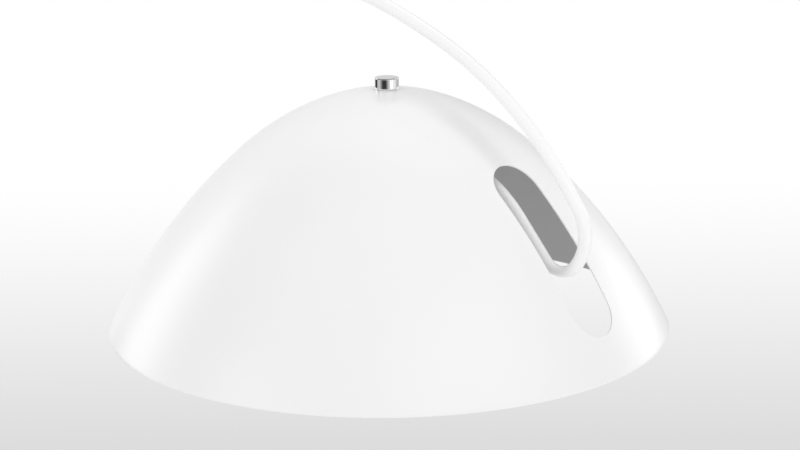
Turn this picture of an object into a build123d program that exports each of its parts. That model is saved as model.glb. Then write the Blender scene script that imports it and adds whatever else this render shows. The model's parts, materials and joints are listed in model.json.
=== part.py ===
"""Arc floor lamp: heavy round base, thin curved stem, and a spun dome shade that the stem hooks into.

Millimetres, +Z up.  The origin is the centre of the base's underside, the stem rises at x = 0, and
the arc lies in the XZ plane with the shade on the +X side.
"""

import os
from math import asin, cos, degrees, radians, sin, sqrt

from build123d import *

# ---------------------------------------------------------------- clearances
fit_clearance = 0.05  # radial, between pieces that slide, screw or press together
face_gap = 0.05  # between flat faces that rub on each other
rubber_gap = 0.3  # round a soft piece in its hole

# ---------------------------------------------------------------- base
base_diameter = 420.0
base_height = 28.0
base_edge_radius = 9.0
cover_wall = 1.5
cover_floor_gap = 1.2  # the cover's lower edge stays off the floor
pad_thickness = 3.0
pad_inset = 5.0
weight_gap = 0.5  # between the iron weight and the cover's side wall
recess_diameter = 46.0  # for the nut under the socket
recess_depth = 18.0
channel_width = 15.0  # for the mains lead, from the inlet to the terminals
channel_depth = 14.0

# ---------------------------------------------------------------- stem socket
socket_flange_diameter = 44.0
socket_flange_height = 5.0
socket_collar_diameter = 22.0
socket_flange_edge = 2.5
socket_collar_edge = 1.2
socket_height = 44.0  # above the base
socket_seat_depth = 2.0  # how far the stem reaches below the base's top
socket_thread_diameter = 16.0
socket_thread_length = 16.0
washer_thickness = 2.0
washer_diameter = 36.0
nut_thickness = 6.0
nut_across_flats = 24.0
grub_diameter = 5.0
grub_hexagon = 2.8  # across the corners of its key socket
grub_height = 26.0  # above the base
grub_recess = 0.4  # the screws lie this far below the collar's surface

# ---------------------------------------------------------------- stem
stem_diameter = 11.0
stem_wall = 1.5
riser_height = 1162.8  # floor to the start of the arc
tube_joint_height = 980.0  # where the lower tube ends and the arc tube begins
spigot_length = 80.0
spigot_wall = 0.9
arc_radius = 850.0  # the wide arc over the room
arc_turn = 106.8
bow_radius = 550.0  # where the arc begins to tighten over the shade
bow_turn = 9.4
shoulder_radius = 340.0
shoulder_turn = 30.9
drop_radius = 41.0
drop_turn = 73.8
hook_radius = 19.4
inner_slope = 49.8  # the inner leg climbs this many degrees
inner_run = 43.8
inner_bend_radius = 118.0
inner_reach = 55.2  # level run from the inner bend to the shade's axis

# ---------------------------------------------------------------- lead
lead_diameter = 4.5
lead_bend_radius = 9.0
lead_floor_gap = 1.0  # above the pad

# ---------------------------------------------------------------- terminals and inlet
terminal_length = 26.0
terminal_width = 17.0
terminal_height = 12.0
terminal_corner = 1.0
terminal_distance = 32.0  # from the stem's axis to the block's near end
terminal_gap = 1.0  # round the block in its pocket
terminal_screw_diameter = 3.5
terminal_screw_pitch = 5.0
inlet_height = 10.0
inlet_diameter = 10.0
grommet_bore = 6.5
grommet_flange = 1.8
grommet_flange_diameter = 12.5

# ---------------------------------------------------------------- joint under the shade
block_diameter = 26.0
block_flat = 11.0  # from the axis to each flat that a washer rubs on
block_rise = 9.5  # above the pivot
block_drop = 13.0  # below the pivot
stem_inset = 6.0  # the stem ends this far from the shade's axis
block_grub_diameter = 4.0
block_grub_hexagon = 2.3
block_edge = 0.5
friction_washer_thickness = 1.0
friction_washer_diameter = 14.0
pivot_diameter = 6.0
pivot_thread_diameter = 5.0
pivot_thread_length = 5.0
pivot_head_diameter = 10.0
pivot_head_height = 3.5
driver_slot_width = 1.2
driver_slot_depth = 1.2
yoke_wall = 3.0
yoke_width = 16.0
yoke_rise = 20.0  # pivot to the underside of its bridge
yoke_bend_radius = 1.5
spindle_diameter = 12.0
spindle_thread_diameter = 8.0
spindle_tail = 4.5  # thread below the bridge
spindle_nut_thickness = 4.0
spindle_nut_across_flats = 13.0
spindle_flange_diameter = 20.0
spindle_flange_height = 3.0
spindle_engagement = 6.5  # thread inside the knob
seat_washer_thickness = 1.0

# ---------------------------------------------------------------- shade
shade_radius = 250.0
shade_wall = 1.2
apex_rise = 50.0  # pivot to the flat seat on top of the shade
seat_radius = 11.0
crown_radius = 168.0
crown_slope = 19.9
flank_radius = 228.0
flank_slope = 41.4
skirt_radius = 502.0
slot_slope = 50.5  # the shade's slope at the middle of the slot
slot_length = 166.0
slot_width = 51.0

# ---------------------------------------------------------------- knob
knob_diameter = 21.3
knob_height = 10.2
knob_edge = 0.6  # the bevel round its top
knob_shoulder = 0.5  # rounding below the bevel
knob_foot_edge = 0.3
knob_lift = 0.1
knob_bore_depth = 7.6
knob_washer_diameter = 15.6
knob_washer_thickness = 0.9

# ---------------------------------------------------------------- lampholder
nipple_diameter = 10.0
nipple_bore = 6.6
nipple_in_block = 6.0
nipple_in_cap = 7.0
nipple_nut_thickness = 3.0
nipple_nut_across_flats = 14.0
cap_diameter = 38.0
cap_height = 20.0
cap_wall = 1.6
cap_edge_radius = 6.0
skirt_wall = 1.6
skirt_neck = 5.0  # the skirt's neck screws into the cap
skirt_lip = 1.5
skirt_edge = 0.8
core_drop = 3.0  # below the cap's mouth
core_disc = 8.0
core_barrel = 22.0
core_diameter = 31.0
shell_bore = 26.8
shell_wall = 0.5
contact_width = 7.0
contact_strip = 0.6
contact_spring = 3.0
contact_screw_diameter = 3.5
contact_thread_diameter = 1.8
contact_screw_slot = 0.6
contact_screw_spread = 18.0
contact_screw_height = 2.2

# ---------------------------------------------------------------- bulb
bulb_length = 104.0
bulb_diameter = 60.0
bulb_tip_diameter = 9.0
bulb_tip_height = 2.0
bulb_insulator_height = 4.0
bulb_cap_diameter = 26.2
bulb_cap_height = 20.0
bulb_cap_wall = 0.4
bulb_neck_diameter = 25.0
bulb_neck_radius = 30.0
bulb_neck_overlap = 3.0
glass_wall = 1.0

# ---------------------------------------------------------------- worked out from the sizes above
stem_bore = stem_diameter - 2 * stem_wall
hook_turn = 270 + inner_slope - arc_turn - bow_turn - shoulder_turn - drop_turn
weight_top = base_height - cover_wall
weight_diameter = base_diameter - 2 * (cover_wall + weight_gap)
recess_top = pad_thickness + recess_depth
socket_top = base_height + socket_height
stem_bottom = base_height - socket_seat_depth
thread_bottom = base_height - socket_thread_length
lead_level = pad_thickness + lead_floor_gap + lead_diameter / 2


def draw_stem_curve(start_height):
    """Draw the stem's centre line from a height on the riser to the shade's axis; return its end."""
    riser = Line((0, start_height), (0, riser_height))
    arc = JernArc(riser @ 1, riser % 1, arc_radius, -arc_turn)
    bow = JernArc(arc @ 1, arc % 1, bow_radius, -bow_turn)
    shoulder = JernArc(bow @ 1, bow % 1, shoulder_radius, -shoulder_turn)
    drop = JernArc(shoulder @ 1, shoulder % 1, drop_radius, -drop_turn)
    hook = JernArc(drop @ 1, drop % 1, hook_radius, -hook_turn)
    run_end = hook @ 1 + (hook % 1) * inner_run
    inner_leg = Line(hook @ 1, run_end)
    bend = JernArc(inner_leg @ 1, inner_leg % 1, inner_bend_radius, inner_slope)
    return bend @ 1


with BuildLine(Plane.XZ, mode=Mode.PRIVATE) as centre_line:
    bend_end = draw_stem_curve(tube_joint_height)

axis_x = bend_end.X - inner_reach
pivot_z = bend_end.Z
shade_axis = Axis((axis_x, 0, 0), (0, 0, 1))
shade_section = Plane((axis_x, 0, pivot_z), x_dir=(1, 0, 0), z_dir=(0, -1, 0))


def at_pivot(height):
    """A level plane on the shade's axis, at a height above the pivot."""
    return Plane((axis_x, 0, pivot_z + height))


parts_folder = "parts"
os.makedirs(parts_folder, exist_ok=True)


def save(builder, name):
    """Label a finished piece and write it."""
    builder.part.label = name
    export_step(builder.part, f"{parts_folder}/{name}.step")


# ================================================================ base
inner_base_radius = base_diameter / 2 - cover_wall
pocket_end = terminal_distance + terminal_length + terminal_gap

with BuildPart() as base_pad:
    with BuildSketch():
        Circle(inner_base_radius - pad_inset)
    extrude(amount=pad_thickness)
save(base_pad, "base_pad")

with BuildPart() as base_weight:
    with BuildSketch(Plane.XY.offset(pad_thickness)):
        Circle(weight_diameter / 2)
    extrude(amount=weight_top - pad_thickness)
    fillet(base_weight.edges().group_by(Axis.Z)[-1], base_edge_radius)
    with BuildSketch(Plane.XY.offset(pad_thickness)):
        Circle(recess_diameter / 2)
    extrude(amount=recess_depth, mode=Mode.SUBTRACT)
    with BuildSketch(Plane.XY.offset(pad_thickness)):
        Rectangle(base_diameter / 2, channel_width, align=(Align.MAX, Align.CENTER))
    extrude(amount=channel_depth, mode=Mode.SUBTRACT)
    with BuildSketch(Plane.XY.offset(pad_thickness)):
        Rectangle(pocket_end, terminal_width + 2 * terminal_gap, align=(Align.MAX, Align.CENTER))
    extrude(amount=terminal_height + 2 * terminal_gap, mode=Mode.SUBTRACT)
    with BuildSketch(Plane.XY.offset(recess_top)):
        Circle(socket_thread_diameter / 2 + fit_clearance)
    extrude(amount=weight_top - recess_top, mode=Mode.SUBTRACT)
save(base_weight, "base_weight")

with BuildPart() as base_cover:
    with BuildSketch(Plane.XZ):
        with BuildLine():
            stem_hole = socket_thread_diameter / 2 + fit_clearance
            outside = FilletPolyline(
                (stem_hole, base_height),
                (base_diameter / 2, base_height),
                (base_diameter / 2, cover_floor_gap),
                radius=base_edge_radius,
            )
            inside = FilletPolyline(
                (stem_hole, weight_top),
                (inner_base_radius, weight_top),
                (inner_base_radius, cover_floor_gap),
                radius=base_edge_radius - cover_wall,
            )
            Line(outside @ 0, inside @ 0)
            Line(outside @ 1, inside @ 1)
        make_face()
    revolve(axis=Axis.Z)
    with BuildSketch(Plane((-base_diameter / 2, 0, inlet_height), x_dir=(0, 1, 0), z_dir=(1, 0, 0))):
        Circle(inlet_diameter / 2)
    extrude(amount=base_edge_radius, both=True, mode=Mode.SUBTRACT)
save(base_cover, "base_cover")

# The grommet's groove holds the cover's wall round the inlet hole.
grommet_start = -base_diameter / 2 - rubber_gap - grommet_flange
grommet_groove_start = grommet_start + grommet_flange
grommet_groove_end = grommet_groove_start + cover_wall + 2 * rubber_gap
grommet_end = grommet_groove_end + grommet_flange

with BuildPart() as inlet_grommet:
    with BuildSketch(Plane((0, 0, inlet_height), x_dir=(1, 0, 0), z_dir=(0, -1, 0))):
        with BuildLine():
            flange_rim = grommet_flange_diameter / 2
            groove_floor = inlet_diameter / 2 - rubber_gap
            Polyline(
                (grommet_start, grommet_bore / 2),
                (grommet_start, flange_rim),
                (grommet_groove_start, flange_rim),
                (grommet_groove_start, groove_floor),
                (grommet_groove_end, groove_floor),
                (grommet_groove_end, flange_rim),
                (grommet_end, flange_rim),
                (grommet_end, grommet_bore / 2),
                close=True,
            )
        make_face()
    revolve(axis=Axis((0, 0, inlet_height), (1, 0, 0)))
save(inlet_grommet, "inlet_grommet")

# ================================================================ terminals in the base
terminal_bottom = pad_thickness + terminal_gap
terminal_middle = -terminal_distance - terminal_length / 2
terminal_screw_length = terminal_height / 2 - driver_slot_depth
terminal_screw_places = GridLocations(terminal_length / 2, terminal_screw_pitch, 2, 3).locations

with BuildPart() as terminal_block:
    with BuildSketch(Plane((terminal_middle, 0, terminal_bottom))):
        Rectangle(terminal_length, terminal_width)
    extrude(amount=terminal_height)
    fillet(terminal_block.edges().filter_by(Axis.Z), terminal_corner)
    with BuildSketch(Plane((terminal_middle, 0, terminal_bottom))):
        with Locations(terminal_screw_places):
            Circle(terminal_screw_diameter / 2 + fit_clearance)
    extrude(amount=terminal_height / 2, mode=Mode.SUBTRACT)
save(terminal_block, "terminal_block")

with BuildPart() as terminal_screws:
    with BuildSketch(Plane((terminal_middle, 0, terminal_bottom + driver_slot_depth))):
        with Locations(terminal_screw_places):
            Circle(terminal_screw_diameter / 2)
    extrude(amount=terminal_screw_length)
save(terminal_screws, "terminal_screws")

# ================================================================ stem socket
with BuildPart() as stem_socket:
    with BuildSketch(Plane.XY.offset(thread_bottom)):
        Circle(socket_thread_diameter / 2)
    extrude(amount=socket_thread_length)
    with BuildSketch(Plane.XY.offset(base_height)):
        Circle(socket_flange_diameter / 2)
    extrude(amount=socket_flange_height)
    fillet(stem_socket.edges().group_by(Axis.Z)[-1], socket_flange_edge)
    with BuildSketch(Plane.XY.offset(base_height)):
        Circle(socket_collar_diameter / 2)
    extrude(amount=socket_height)
    fillet(stem_socket.edges().group_by(Axis.Z)[-1], socket_collar_edge)
    with BuildSketch(Plane.XY.offset(stem_bottom)):
        Circle(stem_diameter / 2 + fit_clearance)
    extrude(amount=socket_top - stem_bottom, mode=Mode.SUBTRACT)
    with BuildSketch(Plane.XY.offset(thread_bottom)):
        Circle(stem_bore / 2)
    extrude(amount=stem_bottom - thread_bottom, mode=Mode.SUBTRACT)
    with BuildSketch(Plane((0, 0, base_height + grub_height), x_dir=(1, 0, 0), z_dir=(0, 1, 0))):
        Circle(grub_diameter / 2 + fit_clearance)
    extrude(amount=socket_collar_diameter / 2, both=True, mode=Mode.SUBTRACT)
save(stem_socket, "stem_socket")

with BuildPart() as socket_washer:
    with BuildSketch(Plane.XY.offset(recess_top - washer_thickness)):
        Circle(washer_diameter / 2)
        Circle(socket_thread_diameter / 2 + fit_clearance, mode=Mode.SUBTRACT)
    extrude(amount=washer_thickness)
save(socket_washer, "socket_washer")

with BuildPart() as socket_nut:
    with BuildSketch(Plane.XY.offset(recess_top - washer_thickness - nut_thickness)):
        RegularPolygon(nut_across_flats / 2, 6, major_radius=False)
        Circle(socket_thread_diameter / 2 + fit_clearance, mode=Mode.SUBTRACT)
    extrude(amount=nut_thickness)
save(socket_nut, "socket_nut")

grub_inner_end = stem_diameter / 2 + fit_clearance
grub_length = socket_collar_diameter / 2 - grub_recess - grub_inner_end
with BuildPart() as socket_grub_screws:
    for side in (1, -1):
        with BuildSketch(Plane((0, side * grub_inner_end, base_height + grub_height), z_dir=(0, side, 0))):
            Circle(grub_diameter / 2)
            RegularPolygon(grub_hexagon / 2, 6, mode=Mode.SUBTRACT)
        extrude(amount=grub_length)
save(socket_grub_screws, "socket_grub_screws")

# ================================================================ stem
with BuildPart() as riser_tube:
    with BuildSketch(Plane.XY.offset(stem_bottom)):
        Circle(stem_diameter / 2)
        Circle(stem_bore / 2, mode=Mode.SUBTRACT)
    extrude(amount=tube_joint_height - stem_bottom)
save(riser_tube, "riser_tube")

spigot_radius = stem_bore / 2 - fit_clearance
with BuildPart() as stem_spigot:
    with BuildSketch(Plane.XY.offset(tube_joint_height)):
        Circle(spigot_radius)
        Circle(spigot_radius - spigot_wall, mode=Mode.SUBTRACT)
    extrude(amount=spigot_length / 2, both=True)
save(stem_spigot, "stem_spigot")

with BuildPart() as arc_tube:
    with BuildLine(Plane.XZ) as arc_path:
        curve_end = draw_stem_curve(tube_joint_height)
        Line(curve_end, (axis_x + stem_inset, pivot_z))
    with BuildSketch(Plane.XY.offset(tube_joint_height)):
        Circle(stem_diameter / 2)
        Circle(stem_bore / 2, mode=Mode.SUBTRACT)
    sweep(path=arc_path.wires()[0])
save(arc_tube, "arc_tube")

# The lead runs from the terminals up the whole stem and down into the lampholder.
core_top = block_drop + cap_height + core_drop  # below the pivot
with BuildPart() as stem_lead:
    with BuildLine(Plane.XZ) as lead_path:
        foot = Line((-terminal_distance, lead_level), (-lead_bend_radius, lead_level))
        foot_bend = JernArc(foot @ 1, foot % 1, lead_bend_radius, 90)
        lead_curve_end = draw_stem_curve(lead_level + lead_bend_radius)
        level_end = Line(lead_curve_end, (axis_x + lead_bend_radius, pivot_z))
        holder_bend = JernArc(level_end @ 1, level_end % 1, lead_bend_radius, 90)
        Line(holder_bend @ 1, (axis_x, pivot_z - core_top))
    with BuildSketch(Plane((-terminal_distance, 0, lead_level), x_dir=(0, 1, 0), z_dir=(1, 0, 0))):
        Circle(lead_diameter / 2)
    sweep(path=lead_path.wires()[0])
save(stem_lead, "stem_lead")

# ================================================================ joint under the shade
leg_inside = block_flat + friction_washer_thickness
leg_outside = leg_inside + yoke_wall
yoke_top = yoke_rise + yoke_wall
across_joint = Plane((axis_x, 0, pivot_z), x_dir=(0, 1, 0), z_dir=(1, 0, 0))
along_pivot = Plane((axis_x, 0, pivot_z), x_dir=(1, 0, 0), z_dir=(0, 1, 0))
block_grub_x = axis_x + (stem_inset + block_diameter / 2) / 2

with BuildPart() as joint_block:
    with BuildSketch(at_pivot(-block_drop)):
        Circle(block_diameter / 2)
        Rectangle(block_diameter, 2 * block_flat, mode=Mode.INTERSECT)
    extrude(amount=block_drop + block_rise)
    chamfer(joint_block.edges().group_by(Axis.Z)[-1], block_edge)
    with BuildSketch(across_joint.offset(stem_inset)):
        Circle(stem_diameter / 2 + fit_clearance)
    extrude(amount=block_diameter / 2, mode=Mode.SUBTRACT)
    with BuildSketch(across_joint):
        Circle(stem_bore / 2)
    extrude(amount=stem_inset, mode=Mode.SUBTRACT)
    with BuildSketch(at_pivot(-block_drop)):
        Circle(nipple_diameter / 2 + fit_clearance)
    extrude(amount=block_drop + stem_bore / 2, mode=Mode.SUBTRACT)
    with BuildSketch(along_pivot):
        Circle(pivot_thread_diameter / 2 + fit_clearance)
    extrude(amount=block_flat, both=True, mode=Mode.SUBTRACT)
    with BuildSketch(Plane((block_grub_x, 0, pivot_z))):
        Circle(block_grub_diameter / 2 + fit_clearance)
    extrude(amount=block_rise, mode=Mode.SUBTRACT)
save(joint_block, "joint_block")

block_grub_bottom = stem_diameter / 2 + fit_clearance
with BuildPart() as block_grub_screw:
    with BuildSketch(Plane((block_grub_x, 0, pivot_z + block_grub_bottom))):
        Circle(block_grub_diameter / 2)
        RegularPolygon(block_grub_hexagon / 2, 6, mode=Mode.SUBTRACT)
    extrude(amount=block_rise - grub_recess - block_grub_bottom)
save(block_grub_screw, "block_grub_screw")

with BuildPart() as friction_washers:
    for side in (1, -1):
        with BuildSketch(Plane((axis_x, side * (block_flat + face_gap), pivot_z), z_dir=(0, side, 0))):
            Circle(friction_washer_diameter / 2)
            Circle(pivot_diameter / 2 + fit_clearance, mode=Mode.SUBTRACT)
        extrude(amount=friction_washer_thickness - 2 * face_gap)
save(friction_washers, "friction_washers")

with BuildPart() as pivot_screws:
    for side in (1, -1):
        with BuildSketch(Plane((axis_x, side * (block_flat - pivot_thread_length), pivot_z), z_dir=(0, side, 0))):
            Circle(pivot_thread_diameter / 2)
        extrude(amount=pivot_thread_length)
        with BuildSketch(Plane((axis_x, side * block_flat, pivot_z), z_dir=(0, side, 0))):
            Circle(pivot_diameter / 2)
        extrude(amount=leg_outside + face_gap - block_flat)
        with BuildSketch(Plane((axis_x, side * (leg_outside + face_gap), pivot_z), z_dir=(0, side, 0))):
            Circle(pivot_head_diameter / 2)
        extrude(amount=pivot_head_height)
        head_face = leg_outside + face_gap + pivot_head_height
        with BuildSketch(Plane((axis_x, side * head_face, pivot_z), z_dir=(0, side, 0))):
            Rectangle(pivot_head_diameter, driver_slot_width)
        extrude(amount=-driver_slot_depth, mode=Mode.SUBTRACT)
save(pivot_screws, "pivot_screws")

with BuildPart() as yoke:
    with BuildSketch(across_joint):
        with BuildLine():
            leg_end = -yoke_width / 2
            outside = FilletPolyline(
                (-leg_outside, leg_end),
                (-leg_outside, yoke_top),
                (leg_outside, yoke_top),
                (leg_outside, leg_end),
                radius=yoke_bend_radius + yoke_wall,
            )
            inside = FilletPolyline(
                (-leg_inside, leg_end),
                (-leg_inside, yoke_rise),
                (leg_inside, yoke_rise),
                (leg_inside, leg_end),
                radius=yoke_bend_radius,
            )
            Line(outside @ 0, inside @ 0)
            Line(outside @ 1, inside @ 1)
        make_face()
    extrude(amount=yoke_width / 2, both=True)
    fillet(yoke.edges().filter_by(Axis.Y).group_by(Axis.Z)[0], yoke_width / 2 - face_gap)
    with BuildSketch(along_pivot):
        Circle(pivot_diameter / 2 + fit_clearance)
    extrude(amount=leg_outside, both=True, mode=Mode.SUBTRACT)
    with BuildSketch(at_pivot(yoke_rise)):
        Circle(spindle_thread_diameter / 2 + fit_clearance)
    extrude(amount=yoke_wall, mode=Mode.SUBTRACT)
save(yoke, "yoke")

seat_level = apex_rise - shade_wall - seat_washer_thickness
flange_level = seat_level - spindle_flange_height
with BuildPart() as spindle:
    with BuildSketch(at_pivot(yoke_rise - spindle_tail)):
        Circle(spindle_thread_diameter / 2)
    extrude(amount=apex_rise + spindle_engagement - yoke_rise + spindle_tail)
    with BuildSketch(at_pivot(yoke_top)):
        Circle(spindle_diameter / 2)
    extrude(amount=flange_level - yoke_top)
    with BuildSketch(at_pivot(flange_level)):
        Circle(spindle_flange_diameter / 2)
    extrude(amount=spindle_flange_height)
save(spindle, "spindle")

with BuildPart() as spindle_nut:
    with BuildSketch(at_pivot(yoke_rise - spindle_nut_thickness)):
        RegularPolygon(spindle_nut_across_flats / 2, 6, major_radius=False)
        Circle(spindle_thread_diameter / 2 + fit_clearance, mode=Mode.SUBTRACT)
    extrude(amount=spindle_nut_thickness)
save(spindle_nut, "spindle_nut")

with BuildPart() as seat_washer:
    with BuildSketch(at_pivot(seat_level)):
        Circle(spindle_flange_diameter / 2)
        Circle(spindle_thread_diameter / 2 + fit_clearance, mode=Mode.SUBTRACT)
    extrude(amount=seat_washer_thickness)
save(seat_washer, "seat_washer")

# ================================================================ shade
# Three tangent arcs make the dome's outline: crown, flank and skirt.  A slope is the dome's angle
# below the horizontal, and each arc's centre lies on the same normal as its neighbour's.
seat_slope = degrees(asin(seat_radius / crown_radius))


def along_normal(slope, length):
    """A step out of the shade, square to its surface where that has the given slope."""
    return Vector(length * sin(radians(slope)), length * cos(radians(slope)))


crown_centre = Vector(seat_radius, apex_rise) - along_normal(seat_slope, crown_radius)
flank_centre = crown_centre + along_normal(crown_slope, crown_radius - flank_radius)
skirt_centre = flank_centre + along_normal(flank_slope, flank_radius - skirt_radius)
rim_slope = degrees(asin((shade_radius - skirt_centre.X) / skirt_radius))
rim_level = (skirt_centre + along_normal(rim_slope, skirt_radius)).Y
slot_middle = skirt_centre + along_normal(slot_slope, skirt_radius)


def draw_dome(skin):
    """Draw the dome's outline at a depth below its outer surface, from the seat to the rim."""
    start = crown_centre + along_normal(seat_slope, crown_radius - skin)
    heading = (cos(radians(seat_slope)), -sin(radians(seat_slope)))
    crown = JernArc(start, heading, crown_radius - skin, seat_slope - crown_slope)
    flank = JernArc(crown @ 1, crown % 1, flank_radius - skin, crown_slope - flank_slope)
    skirt = JernArc(flank @ 1, flank % 1, skirt_radius - skin, flank_slope - rim_slope)
    return start, skirt @ 1


with BuildPart() as shade:
    with BuildSketch(shade_section):
        with BuildLine():
            outer_start, outer_rim = draw_dome(0)
            inner_start, inner_rim = draw_dome(shade_wall)
            Line(outer_rim, inner_rim)
            Polyline(outer_start, (0, apex_rise), (0, inner_start.Y), inner_start)
        make_face()
    revolve(axis=shade_axis)
    with BuildSketch(at_pivot(apex_rise)):
        Circle(spindle_thread_diameter / 2 + rubber_gap)
    extrude(amount=-2 * shade_wall, mode=Mode.SUBTRACT)
    slot_plane = Plane(
        (axis_x + slot_middle.X, 0, pivot_z + slot_middle.Y),
        x_dir=(cos(radians(slot_slope)), 0, -sin(radians(slot_slope))),
        z_dir=(sin(radians(slot_slope)), 0, cos(radians(slot_slope))),
    )
    with BuildSketch(slot_plane):
        SlotOverall(slot_length, slot_width)
    extrude(amount=slot_width, both=True, mode=Mode.SUBTRACT)
save(shade, "shade")

# ================================================================ knob
knob_bottom = apex_rise + knob_lift
knob_recess = knob_washer_thickness - knob_lift

with BuildPart() as knob_washer:
    with BuildSketch(at_pivot(apex_rise)):
        Circle(knob_washer_diameter / 2)
        Circle(spindle_thread_diameter / 2 + rubber_gap, mode=Mode.SUBTRACT)
    extrude(amount=knob_washer_thickness)
save(knob_washer, "knob_washer")

with BuildPart() as knob:
    with BuildSketch(at_pivot(knob_bottom)):
        Circle(knob_diameter / 2)
    extrude(amount=knob_height)
    chamfer(knob.edges().group_by(Axis.Z)[-1], knob_edge)
    fillet(knob.edges().filter_by(GeomType.CIRCLE).group_by(Axis.Z)[-2], knob_shoulder)
    chamfer(knob.edges().group_by(Axis.Z)[0], knob_foot_edge)
    with BuildSketch(at_pivot(knob_bottom)):
        Circle(knob_washer_diameter / 2 + rubber_gap)
    extrude(amount=knob_recess, mode=Mode.SUBTRACT)
    with BuildSketch(at_pivot(knob_bottom)):
        Circle(spindle_thread_diameter / 2 + fit_clearance)
    extrude(amount=knob_bore_depth, mode=Mode.SUBTRACT)
save(knob, "knob")

# ================================================================ lampholder
nipple_top = block_drop - nipple_in_block  # depths below the pivot from here on
nipple_length = nipple_in_block + nipple_in_cap
cap_mouth = block_drop + cap_height
cap_bore = cap_diameter / 2 - cap_wall
nipple_hole = nipple_diameter / 2 + fit_clearance

with BuildPart() as holder_nipple:
    with BuildSketch(at_pivot(-nipple_top)):
        Circle(nipple_diameter / 2)
        Circle(nipple_bore / 2, mode=Mode.SUBTRACT)
    extrude(amount=-nipple_length)
save(holder_nipple, "holder_nipple")

with BuildPart() as nipple_nut:
    with BuildSketch(at_pivot(-block_drop - cap_wall)):
        RegularPolygon(nipple_nut_across_flats / 2, 6, major_radius=False)
        Circle(nipple_hole, mode=Mode.SUBTRACT)
    extrude(amount=-nipple_nut_thickness)
save(nipple_nut, "nipple_nut")

with BuildPart() as holder_cap:
    with BuildSketch(shade_section):
        with BuildLine():
            outside = FilletPolyline(
                (nipple_hole, -block_drop),
                (cap_diameter / 2, -block_drop),
                (cap_diameter / 2, -cap_mouth),
                radius=cap_edge_radius,
            )
            inside = FilletPolyline(
                (nipple_hole, -block_drop - cap_wall),
                (cap_bore, -block_drop - cap_wall),
                (cap_bore, -cap_mouth),
                radius=cap_edge_radius - cap_wall,
            )
            Line(outside @ 0, inside @ 0)
            Line(outside @ 1, inside @ 1)
        make_face()
    revolve(axis=shade_axis)
save(holder_cap, "holder_cap")

core_bottom = core_top + core_disc + core_barrel
skirt_bottom = core_bottom + skirt_lip
neck_radius = cap_bore - fit_clearance
shell_radius = shell_bore / 2 + shell_wall

with BuildPart() as holder_skirt:
    with BuildSketch(at_pivot(-cap_mouth + skirt_neck)):
        Circle(neck_radius)
    extrude(amount=-skirt_neck)
    with BuildSketch(at_pivot(-cap_mouth)):
        Circle(cap_diameter / 2)
    extrude(amount=cap_mouth - skirt_bottom)
    fillet(holder_skirt.edges().group_by(Axis.Z)[0], skirt_edge)
    with BuildSketch(at_pivot(-cap_mouth + skirt_neck)):
        Circle(neck_radius - skirt_wall)
    extrude(amount=cap_mouth - skirt_neck - core_bottom, mode=Mode.SUBTRACT)
    with BuildSketch(at_pivot(-core_bottom)):
        Circle(shell_radius + fit_clearance)
    extrude(amount=-skirt_lip, mode=Mode.SUBTRACT)
save(holder_skirt, "holder_skirt")

contact_screw_places = GridLocations(contact_screw_spread, 0, 2, 1).locations
with BuildPart() as holder_core:
    with BuildSketch(at_pivot(-core_bottom)):
        Circle(core_diameter / 2)
    extrude(amount=core_disc + core_barrel)
    with BuildSketch(at_pivot(-core_bottom)):
        Circle(shell_radius + fit_clearance)
    extrude(amount=core_barrel, mode=Mode.SUBTRACT)
    with BuildSketch(at_pivot(-core_top)):
        with Locations(contact_screw_places):
            Circle(contact_thread_diameter / 2 + fit_clearance)
    extrude(amount=-core_disc / 2, mode=Mode.SUBTRACT)
save(holder_core, "holder_core")

with BuildPart() as contact_screws:
    with BuildSketch(at_pivot(-core_top)):
        with Locations(contact_screw_places):
            Circle(contact_screw_diameter / 2)
    extrude(amount=contact_screw_height)
    with BuildSketch(at_pivot(-core_top)):
        with Locations(contact_screw_places):
            Circle(contact_thread_diameter / 2)
    extrude(amount=-core_disc / 2)
    with BuildSketch(at_pivot(-core_top + contact_screw_height)):
        with Locations(contact_screw_places):
            Rectangle(contact_screw_diameter, contact_screw_slot)
    extrude(amount=-driver_slot_depth, mode=Mode.SUBTRACT)
save(contact_screws, "contact_screws")

with BuildPart() as screw_shell:
    with BuildSketch(at_pivot(-core_top - core_disc)):
        Circle(shell_radius)
        Circle(shell_bore / 2, mode=Mode.SUBTRACT)
    extrude(amount=-core_barrel + skirt_lip)
save(screw_shell, "screw_shell")

disc_underside = core_top + core_disc
with BuildPart() as centre_contact:
    with BuildSketch(shade_section):
        with BuildLine():
            Polyline(
                (-contact_width - contact_strip, -disc_underside),
                (-contact_width / 2, -disc_underside),
                (contact_width / 2, -disc_underside - contact_spring + contact_strip),
                (contact_width / 2, -disc_underside - contact_spring),
                (-contact_width / 2 - contact_strip / 2, -disc_underside - contact_strip),
                (-contact_width - contact_strip, -disc_underside - contact_strip),
                close=True,
            )
        make_face()
    extrude(amount=contact_width / 2, both=True)
save(centre_contact, "centre_contact")

# ================================================================ bulb
tip_level = disc_underside + contact_spring
insulator_level = tip_level + bulb_tip_height
bulb_cap_level = insulator_level + bulb_insulator_height
bulb_cap_mouth = bulb_cap_level + bulb_cap_height
neck_level = bulb_cap_mouth - bulb_neck_overlap
globe_radius = bulb_diameter / 2
globe_level = tip_level + bulb_length - globe_radius
insulator_radius = bulb_cap_diameter / 2 - bulb_tip_height / 2

with BuildPart() as bulb_tip:
    with BuildSketch(at_pivot(-tip_level)):
        Circle(bulb_tip_diameter / 2)
    extrude(amount=-bulb_tip_height)
save(bulb_tip, "bulb_tip")

with BuildPart() as bulb_insulator:
    with BuildSketch(at_pivot(-insulator_level)):
        Circle(bulb_tip_diameter / 2)
    with BuildSketch(at_pivot(-bulb_cap_level)):
        Circle(insulator_radius)
    loft()
save(bulb_insulator, "bulb_insulator")

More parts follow.
